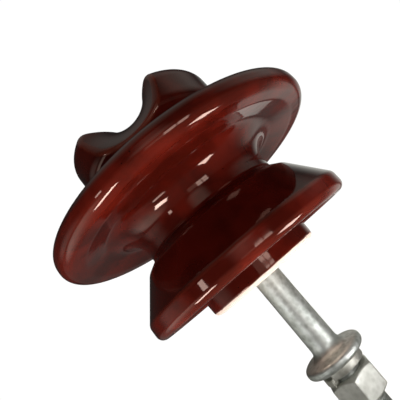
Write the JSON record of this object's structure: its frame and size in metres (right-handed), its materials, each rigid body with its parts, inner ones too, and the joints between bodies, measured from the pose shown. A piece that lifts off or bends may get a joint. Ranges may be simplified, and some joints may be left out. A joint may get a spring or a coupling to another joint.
{
  "type": "pin insulator",
  "caption": "Brown-glazed porcelain pin insulator with two sheds and a grooved head, cemented on a galvanised steel pin with collar, spring washer and nut.",
  "frame": {"origin": "on the pin's axis in the flat underside of its collar, the face that sits on the crossarm", "axes": "+Z along the pin towards the head; the conductor groove across the head runs along Y"},
  "size_m": [0.166, 0.166, 0.215],
  "materials": {
    "brown_glaze": "glossy deep brown glaze, bare porcelain on the base ring",
    "portland_cement": "matt cement mortar",
    "cork_pad": "compressed cork",
    "galvanised_steel": "hot-dip galvanised, matt grey",
    "galvanised_washer": "galvanised, satin",
    "galvanised_nut": "galvanised, satin"
  },
  "bodies": {
    "insulator": {"porcelain_body": "brown_glaze", "cement_filling": "portland_cement", "pin_tip_pad": "cork_pad", "steel_pin": "galvanised_steel"},
    "washer": {"spring_washer": "galvanised_washer"},
    "nut": {"hex_nut": "galvanised_nut"}
  },
  "joints": [
    {"name": "washer_slide", "type": "slide", "parent": "insulator", "child": "washer", "axis": [0, 0, -1], "range_m": [0, 0.018]},
    {"name": "nut_spin", "type": "hinge", "parent": "washer", "child": "nut", "pos_m": [0, 0, -0.0149], "axis": [0, 0, -1], "range_deg": [0, 3240]}
  ],
  "couplings": [
    {"joint": "washer_slide", "follows": "nut_spin", "m_per_rad": 0.00031831}
  ]
}
